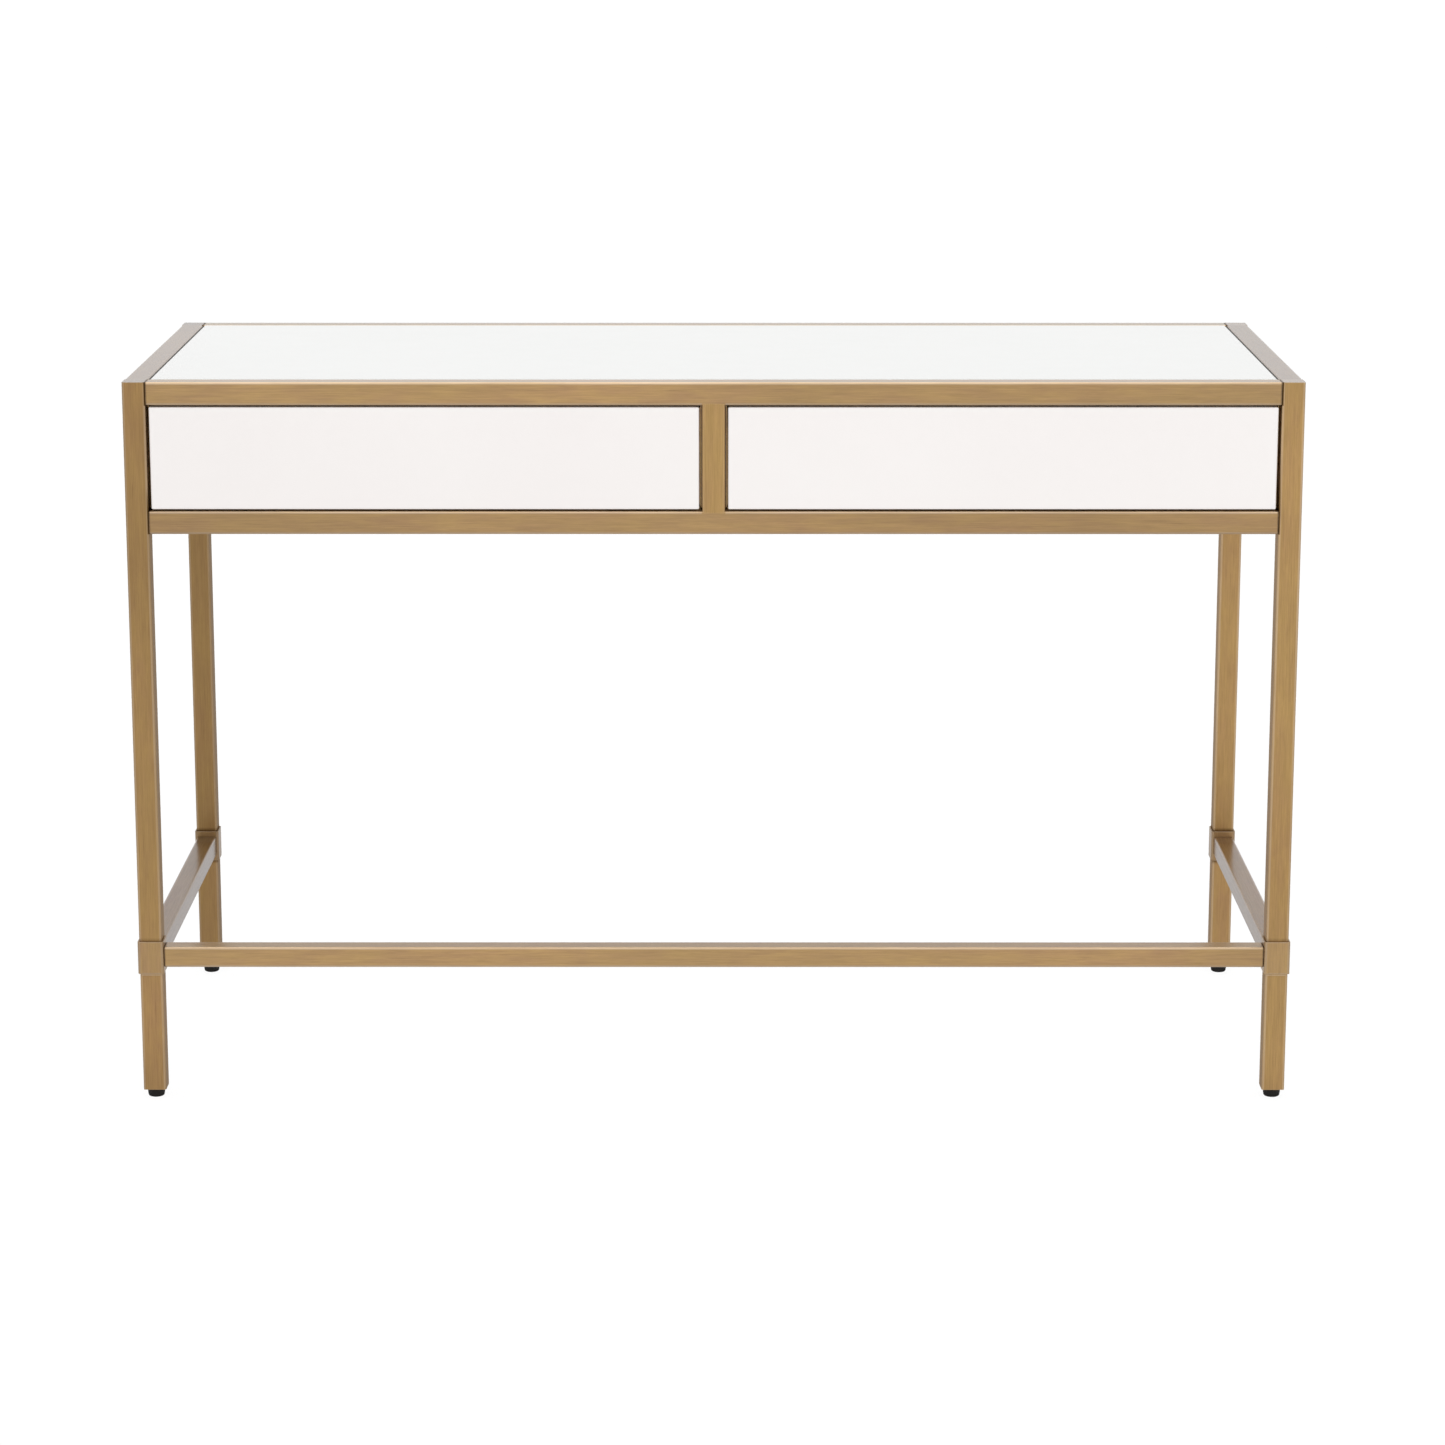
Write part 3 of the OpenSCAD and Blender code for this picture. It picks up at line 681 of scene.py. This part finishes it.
def addLegs():
    # each leg runs up to the level of the top, over its cap
    look = tubeLook
    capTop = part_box("leg_caps")[1].z
    collarLow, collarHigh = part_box("collars")
    for corner in corners:
        name = "leg_" + corner
        low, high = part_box(name)
        high.z = capTop
        row = corner.split("_")[0]
        above, under = look["collarDepth"][row]
        seams = ((collarLow.z, -1, under), (collarHigh.z, 1, above))
        shape = tubeShape(low, high, 2, (False, False), seams, shadeToneOf[name],
                          look["legHighlight"], look["collarSeam"])
        shadeLeg(shape, min(abs(low.x), abs(high.x)))
        if row == "front":
            paleRing(shape, collarLow.z, look["ringSpan"])
        for face in shape.faces:
            face.material_index = int(face.normal.z > 0.9)
        foot = max((face for face in shape.faces if face.normal.z < -0.9), key=lambda face: face.calc_area())
        bmesh.ops.inset_individual(shape, faces=[foot], thickness=look["wall"], use_even_offset=True)
        foot.material_index = 2  # the plug, a little way up the tube
        rim, rise = look["plugStep"]
        bmesh.ops.inset_individual(shape, faces=[foot], thickness=rim, depth=-rise)
        piece = addPiece(name + "_tube", shape, "frame", brass["Legs"], (name, "leg_caps"))
        piece.data.materials.append(brass["Sides"])
        piece.data.materials.append(blackPlastic)


addLegs()

collarLook = {
    "radius": 0.0022, "cornerSteps": 4, "ease": 0.0005, "easeSteps": 2, "highlightWidth": 0.0012,
    "shy": 0.00025,  # of the bolt covers
    "fit": 0.96,  # the share of the wall that its rim keeps
    "broad": 0.0006, "capArea": 0.0001,  # square metres
    # painted highlight on the rims and corners, painted shade on the corners and inside the bore
    "rimHighlight": 0.9, "cornerHighlight": 0.4, "cornerShade": 0.3,
    "boreShade": {"front": 0.35, "back": 0.9},
}


def shadeCollar(shape, half, middle, row, tone):
    # paints a highlight on the rims and corners, shade on the corners and in the bore, and the tube's painted
    # tone
    look = collarLook
    edge = look["ease"] * 1.5
    rounded = look["radius"] + look["highlightWidth"] * 0.5
    highlightLayer, shadeLayer, toneShadeLayer = layersOf(shape, "wearhighlight", "paintedshade", "tone")
    for vert in shape.verts:
        offset = vert.co - middle
        nearRim = abs(offset.z) > half.z - edge
        inside = max(abs(offset.x), abs(offset.y)) < half.x - edge
        corner = min(abs(offset.x), abs(offset.y)) > half.x - rounded
        vert[highlightLayer] = look["rimHighlight"] if nearRim and not inside else look["cornerHighlight"] * corner
        vert[shadeLayer] = look["boreShade"][row] if inside else look["cornerShade"] * corner
        vert[toneShadeLayer] = tone


def addCollars():
    look = collarLook
    low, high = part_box("collars")
    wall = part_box("leg_front_left")[0].x - low.x - look["shy"]
    for corner in corners:
        legLow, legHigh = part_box("leg_" + corner)
        outLow = Vector((legLow.x - wall, legLow.y - wall, low.z))
        outHigh = Vector((legHigh.x + wall, legHigh.y + wall, high.z))
        shape = blockShape(outLow, outHigh)
        bevelEdges(shape, edgesAlong(shape, 2), look["radius"], look["cornerSteps"])
        rims = [edge for edge in shape.edges if abs(edge.verts[0].co.z - edge.verts[1].co.z) < hair]
        bevelEdges(shape, rims, look["ease"], look["easeSteps"])
        caps = [face for face in shape.faces
                if abs(face.normal.z) > 0.99 and face.calc_area() > look["capArea"]]
        hollowOut(shape, caps, wall * look["fit"] - look["ease"], even=True)
        insetBroad(shape, look["highlightWidth"], 2, look["broad"])
        title = "collar_" + corner
        shadeCollar(shape, (outHigh - outLow) / 2, (outLow + outHigh) / 2, corner.split("_")[0],
                    shadeToneOf.get(title, 0.0))
        addPiece(title + "_sleeve", shape, "frame", brass["Collars"], ("collars",))


addCollars()

coverLook = {
    "proud": 0.00025,  # of the legs; at the collars they are level with the CAD's sleeves
    "collarLevel": 0.3,  # covers below this height are on the collars
    "ease": 0.0008, "crown": 0.00012, "edge": 0.0004, "thick": 0.0015, "steps": 40, "wearhighlight": 0.7,
}


def addCovers():
    # pressed-in discs over the bolts, each a turned cap with a painted highlight on its face and a dark ring
    # of painted shade round it
    look = coverLook
    whole = bmesh.new()
    highlightLayer, shadeLayer = layersOf(whole, "wearhighlight", "paintedshade")
    for low, high in solidBoxes("bolt_covers"):
        side = 1.0 if low.x > 0 else -1.0
        proud = look["proud"] if low.z > look["collarLevel"] else 0.0
        face = (max(abs(low.x), abs(high.x)) + proud) * side
        centre = (low + high) / 2
        radius = (high.y - low.y) / 2
        ease, back = look["ease"], face - side * look["thick"]
        profile = [(0.0, face), (radius - ease, face), (radius - ease * 0.3, face - side * look["crown"]),
                   (radius, face - side * look["edge"]), (radius, back), (0.0, back)]
        verts = [whole.verts.new((x, centre.y + r, centre.z)) for r, x in profile]
        for vert, (r, x) in zip(verts, profile):
            vert[highlightLayer] = look["wearhighlight"] if 0.5 * radius < r < radius * 0.99 else 0.0
            vert[shadeLayer] = 1.0 if r > radius * 0.99 else 0.0
        edges = [whole.edges.new(pair) for pair in zip(verts, verts[1:])]
        bmesh.ops.spin(whole, geom=verts + edges, cent=(face, centre.y, centre.z), axis=(1, 0, 0),
                       dvec=(0, 0, 0), angle=math.tau, steps=look["steps"], use_merge=True)
    bmesh.ops.remove_doubles(whole, verts=whole.verts, dist=hair)
    bmesh.ops.recalc_face_normals(whole, faces=whole.faces)
    addPiece("bolt_caps", whole, "frame", brass["Collars"], ("bolt_covers",), smooth=50.0)


addCovers()

# how far the edges are eased, the material, the body and the slot
panelLook = {
    "top_panel": (0.0010, topWhite, "frame", "white_glass"),
    "left_panel": (0.0006, lacquer, "frame", "white_lacquer"),
    "right_panel": (0.0006, lacquer, "frame", "white_lacquer"),
    "back_panel": (0.0006, lacquer, "frame", "white_lacquer"),
    "left_drawer_face": (0.0014, lacquer, "left_drawer", "white_lacquer"),
    "right_drawer_face": (0.0014, lacquer, "right_drawer", "white_lacquer"),
}
panelSteps = 3
topShy = Vector((0.0008, 0.0, 0.0))  # widens the joint beside the top, which the dark gasket fills as a painted shadow


def addPanel(node, ease, material, body, slotName):
    low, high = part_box(node)
    if node == "top_panel":
        low, high = low + topShy, high - topShy
    shape = blockShape(low, high)
    bevelEdges(shape, shape.edges, ease, panelSteps)
    return addPiece(node + "_board", shape, body, material, (node,), smooth=50.0)


for name, values in panelLook.items():
    addPanel(name, *values)

backingLook = {"thick": 0.0014, "proud": (0.0026, 0.0016), "radius": 0.0012, "cornerSteps": 3,
               "rim": 0.004, "broad": 0.01}


def addBacking(side):
    # the plate behind a drawer's face, a little larger, which closes the reveal
    look = backingLook
    low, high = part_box(side + "_drawer_face")
    proud = Vector((look["proud"][0], 0.0, look["proud"][1]))
    shape = blockShape(Vector((low.x, high.y, low.z)) - proud,
                       Vector((high.x, high.y + look["thick"], high.z)) + proud)
    bevelEdges(shape, edgesAlong(shape, 1), look["radius"], look["cornerSteps"])
    insetBroad(shape, look["rim"], 0, look["broad"])
    addPiece(side + "_drawer_backing", shape, side + "_drawer", brass["Rails"])


for side in ("left", "right"):
    addBacking(side)

gasketLook = {"lift": 0.0002, "drop": 0.0011, "overlap": 0.0002, "ease": 0.0003, "easeSteps": 2}


def addGasket():
    # the dark strip that cushions the top between the rails, made near black to paint the joint's shadow
    look = gasketLook
    low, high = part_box("top_panel")
    frontRail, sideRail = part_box("front_top_rail"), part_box("left_top_rail")
    outLow = Vector((sideRail[1].x, frontRail[1].y, low.z + look["lift"]))
    outHigh = Vector((-sideRail[1].x, -frontRail[1].y, high.z - look["drop"]))
    shape = blockShape(outLow, outHigh)
    caps = [face for face in shape.faces if abs(face.normal.z) > 0.9]
    hollowOut(shape, caps, low.x + topShy.x - outLow.x + look["overlap"], even=False)
    top = [edge for edge in shape.edges if all(abs(v.co.z - outHigh.z) < hair for v in edge.verts)]
    bevelEdges(shape, top, look["ease"], look["easeSteps"])
    addPiece("top_gasket", shape, "frame", shadowGasket)


addGasket()
print("panels, drawer faces, backing plates and gasket:", len(panelLook) + 3)

boxLook = {"ease": 0.0009, "steps": 2, "edgeArea": 0.0001}
thinAxis = {"sides": 0, "front": 1, "back": 1}  # the axis that each wall is thin along


def addWalls(side, wall, thin):
    # a drawer's walls, with the board's layers showing on their edges
    look = boxLook
    node = side + "_drawer_" + wall
    whole = bmesh.new()
    for low, high in solidBoxes(node):
        shape = blockShape(low, high)
        bevelEdges(shape, shape.edges, look["ease"], look["steps"])
        for face in shape.faces:
            onEdge = abs(face.normal[thin]) < 0.3 and face.calc_area() > look["edgeArea"]
            face.material_index = int(onEdge)
        part = bpy.data.meshes.new("part")
        shape.to_mesh(part)
        shape.free()
        whole.from_mesh(part)
        bpy.data.meshes.remove(part)
    piece = addPiece(node + "_ply", whole, side + "_drawer", birch[1 - thin], (node,),
                     smooth=50.0)
    piece.data.materials.append(birchEdge[thin])


for side in ("left", "right"):
    for wall, thin in thinAxis.items():
        addWalls(side, wall, thin)
print("drawer boxes: walls of both drawers")

footLook = {
    "flat": 0.0068, "waist": 0.0087, "neck": 0.0093,  # radii, from the bottom up
    "rise": 0.0021, "roundSteps": 6, "rimHeight": 0.0021, "rimEase": 0.0004, "topEase": 0.0005,
    "ribs": 26, "ribDepth": 0.0006,
}


def addFeet():
    # a moulded pad: a thin rim under the tube, a ribbed side that tapers, and a rounded bottom
    look = footLook
    for corner in corners:
        name = "foot_" + corner
        low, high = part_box(name)
        centre = (low + high) / 2
        rim = (high.x - low.x) / 2
        height = high.z - low.z
        flat, rise, ease, topEase = look["flat"], look["rise"], look["rimEase"], look["topEase"]
        rimLow = height - look["rimHeight"]
        profile = [(0.0, 0.0), (flat, 0.0)]
        for step in range(1, look["roundSteps"] + 1):
            angle = math.radians(90 * step / look["roundSteps"])
            profile.append((flat + (look["waist"] - flat) * math.sin(angle), rise * (1 - math.cos(angle))))
        profile += [(look["neck"], rimLow), (rim - ease, rimLow), (rim, rimLow + ease),
                    (rim, height - topEase), (rim - topEase, height), (0.0, height)]
        shape = bmesh.new()
        verts = [shape.verts.new((radius, 0.0, z)) for radius, z in profile]
        edges = [shape.edges.new(pair) for pair in zip(verts, verts[1:])]
        steps = look["ribs"] * 4
        bmesh.ops.spin(shape, geom=verts + edges, cent=(0, 0, 0), axis=(0, 0, 1), dvec=(0, 0, 0),
                       angle=math.tau, steps=steps, use_merge=True)
        bmesh.ops.remove_doubles(shape, verts=shape.verts, dist=hair)
        for vert in shape.verts:
            turn = round(math.atan2(vert.co.y, vert.co.x) / math.tau * steps) % 4
            reach = vert.co.xy.length
            onSide = rise * 0.5 < vert.co.z < rimLow + near and reach < rim - look["ribDepth"]
            if turn in (0, 1) and onSide:
                vert.co.xy = vert.co.xy.normalized() * (reach - look["ribDepth"])
        bmesh.ops.recalc_face_normals(shape, faces=shape.faces)
        bmesh.ops.translate(shape, vec=(centre.x, centre.y, low.z), verts=shape.verts)
        addPiece(name + "_pad", shape, name, blackPlastic, (name,), smooth=30.0)


addFeet()
print("feet:", len(corners))

stageLook = {
    "floorSize": 40.0, "floorColour": 0.88, "veil": 0.12, "white": 1.06, "worldStrength": 0.76,
    # what the metal mirrors: how bright, and between which directions the change lies
    "sideFlags": 0.72, "sideSpread": (0.80, 0.97),
    "backdrop": 0.66, "backSpread": (0.55, 0.92), "stripHeight": 0.128, "stripSpread": (0.035, 0.075),
    "zenith": 0.9, "zenithSpread": (0.55, 0.88),
}
# place, size, power and whether the metal mirrors it
lampLook = {
    "overheadLamp": ((0.2, -0.2, 3.1), (2.4, 0.7), 2.0, True),
    "frontLamp": ((0.5, -4.4, 1.4), (3.2, 1.8), 44.0, False),
    "backLamp": ((-0.6, 4.2, 1.6), (3.0, 1.6), 22.0, False),
}
lampTarget = Vector((0.0, 0.0, 0.5))


def seenNode(tree, path):
    # 1 for what the camera and clear materials see
    camera, clear = path.outputs["Is Camera Ray"], path.outputs["Is Transmission Ray"]
    return mathNode(tree, "MAXIMUM", camera, clear)


def addFloor():
    # opaque and pale to the light, but seen as a thin veil over the white, which carries the shadow
    look = stageLook
    shape = bmesh.new()
    bmesh.ops.create_grid(shape, x_segments=1, y_segments=1, size=look["floorSize"] / 2)
    mesh = bpy.data.meshes.new("floor")
    shape.to_mesh(mesh)
    shape.free()
    floor = bpy.data.objects.new("floor", mesh)
    scene.collection.objects.link(floor)
    material = bpy.data.materials.new("paleFloor")
    material.use_nodes = True
    tree = material.node_tree
    tree.nodes.clear()
    diffuse = addNode(tree, "ShaderNodeBsdfDiffuse")
    diffuse.inputs["Color"].default_value = (look["floorColour"],) * 3 + (1.0,)
    clear = addNode(tree, "ShaderNodeBsdfTransparent")
    mix = addNode(tree, "ShaderNodeMixShader")
    path = addNode(tree, "ShaderNodeLightPath")
    seen = mathNode(tree, "MAXIMUM", seenNode(tree, path), path.outputs["Is Glossy Ray"])
    tree.links.new(rangeNode(tree, seen, 0.0, 1.0, 1.0, look["veil"]), mix.inputs["Fac"])
    tree.links.new(clear.outputs[0], mix.inputs[1])
    tree.links.new(diffuse.outputs[0], mix.inputs[2])
    output = addNode(tree, "ShaderNodeOutputMaterial")
    tree.links.new(mix.outputs[0], output.inputs["Surface"])
    mesh.materials.append(material)


def mirroredStudio(tree):
    # dimmer at the sides and behind, apart from a bright strip low down behind, and brighter overhead
    look = stageLook
    coords = addNode(tree, "ShaderNodeTexCoord")
    way = addNode(tree, "ShaderNodeSeparateXYZ")
    tree.links.new(coords.outputs["Generated"], way.inputs[0])
    aside = mathNode(tree, "ABSOLUTE", way.outputs["X"])
    sides = rangeNode(tree, aside, *look["sideSpread"], 1.0, look["sideFlags"])
    offStrip = mathNode(tree, "ABSOLUTE", mathNode(tree, "SUBTRACT", way.outputs["Z"], look["stripHeight"]))
    dimming = rangeNode(tree, offStrip, *look["stripSpread"], 0.0, 1.0 - look["backdrop"])
    behind = mathNode(tree, "MULTIPLY", rangeNode(tree, way.outputs["Y"], *look["backSpread"]), dimming)
    above = rangeNode(tree, way.outputs["Z"], *look["zenithSpread"], 1.0, 1.0 + look["zenith"])
    level = mathNode(tree, "MULTIPLY", sides, mathNode(tree, "SUBTRACT", 1.0, behind))
    return mathNode(tree, "MULTIPLY", level, above)


def setWorld():
    # white where it is seen, the studio above where it is mirrored, and softer as a light
    look = stageLook
    world = bpy.data.worlds.new("studio")
    scene.world = world
    world.use_nodes = True
    tree = world.node_tree
    background = tree.nodes["Background"]
    background.inputs["Color"].default_value = (1.0, 1.0, 1.0, 1.0)
    path = addNode(tree, "ShaderNodeLightPath")
    seen, glossy = seenNode(tree, path), path.outputs["Is Glossy Ray"]
    shine = mathNode(tree, "MULTIPLY", glossy, mirroredStudio(tree))
    white = mathNode(tree, "MULTIPLY", mathNode(tree, "MAXIMUM", seen, shine), look["white"])
    lit = mathNode(tree, "SUBTRACT", 1.0, mathNode(tree, "MAXIMUM", seen, glossy))
    light = mathNode(tree, "MULTIPLY", lit, look["worldStrength"])
    tree.links.new(mathNode(tree, "MAXIMUM", white, light), background.inputs["Strength"])


def addLamp(name, place, size, power, mirrored):
    data = bpy.data.lights.new(name, "AREA")
    data.shape = "RECTANGLE"
    data.size, data.size_y = size
    data.energy = power
    lamp = bpy.data.objects.new(name, data)
    lamp.location = place
    lamp.rotation_euler = (lampTarget - Vector(place)).to_track_quat("-Z", "Y").to_euler()
    lamp.visible_glossy = mirrored
    scene.collection.objects.link(lamp)


cameraLook = {"place": (0.0121, -4.446, 1.341), "tilt": 12.5, "yaw": -0.04, "lens": 102.1, "sensor": 36.0,
              "clip": (0.1, 100.0)}


def addCamera():
    look = cameraLook
    data = bpy.data.cameras.new("camera")
    data.lens = look["lens"]
    data.sensor_width = look["sensor"]
    data.clip_start, data.clip_end = look["clip"]
    camera = bpy.data.objects.new("camera", data)
    camera.location = look["place"]
    camera.rotation_euler = (math.radians(90 - look["tilt"]), 0.0, math.radians(-look["yaw"]))
    scene.collection.objects.link(camera)
    scene.camera = camera


addFloor()
setWorld()
for name, values in lampLook.items():
    addLamp(name, *values)
addCamera()
scene.view_settings.view_transform = "Standard"
print("stage: floor, world, lamps, camera")
